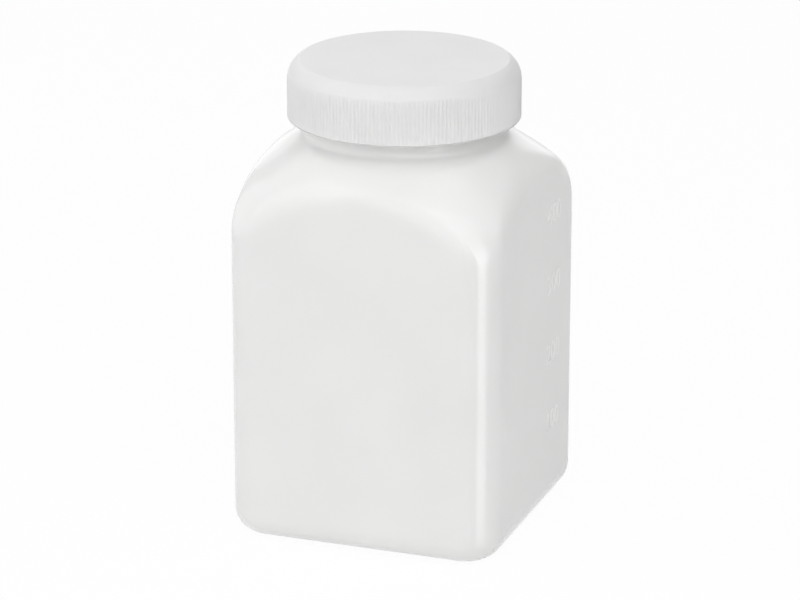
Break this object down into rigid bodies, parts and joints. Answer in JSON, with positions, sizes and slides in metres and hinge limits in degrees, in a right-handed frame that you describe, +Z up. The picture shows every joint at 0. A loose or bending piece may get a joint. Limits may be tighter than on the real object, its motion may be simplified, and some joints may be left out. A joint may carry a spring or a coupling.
{
  "type": "reagent bottle",
  "caption": "Square wide-neck laboratory bottle of natural plastic with a domed shoulder, closed by a ribbed screw cap over a sealing disc.",
  "frame": {"origin": "on the bottle's axis at the plane it stands on", "axes": "+Z up along the bottle's axis, +X out of the face with the volume numbers, -Y out of the wide face that the picture shows most of"},
  "size_m": [0.075, 0.075, 0.1253],
  "materials": {
    "bottle_polyethylene": "satin, slightly translucent, as blow-moulded",
    "cap_polypropylene": "fine satin, as injection-moulded",
    "disc_foam": "soft matt foam"
  },
  "bodies": {
    "bottle": {"bottle": "bottle_polyethylene"},
    "disc": {"sealing_disc": "disc_foam"},
    "cap": {"screw_cap": "cap_polypropylene"}
  },
  "joints": [
    {"name": "cap_lift", "type": "slide", "parent": "bottle", "child": "disc", "axis": [0, 0, 1], "range_m": [0, 0.01375]},
    {"name": "cap_turn", "type": "hinge", "parent": "disc", "child": "cap", "pos_m": [0, 0, 0.118], "axis": [0, 0, 1], "range_deg": [0, 990]}
  ],
  "couplings": [
    {"joint": "cap_lift", "follows": "cap_turn", "m_per_rad": 0.00079577}
  ]
}
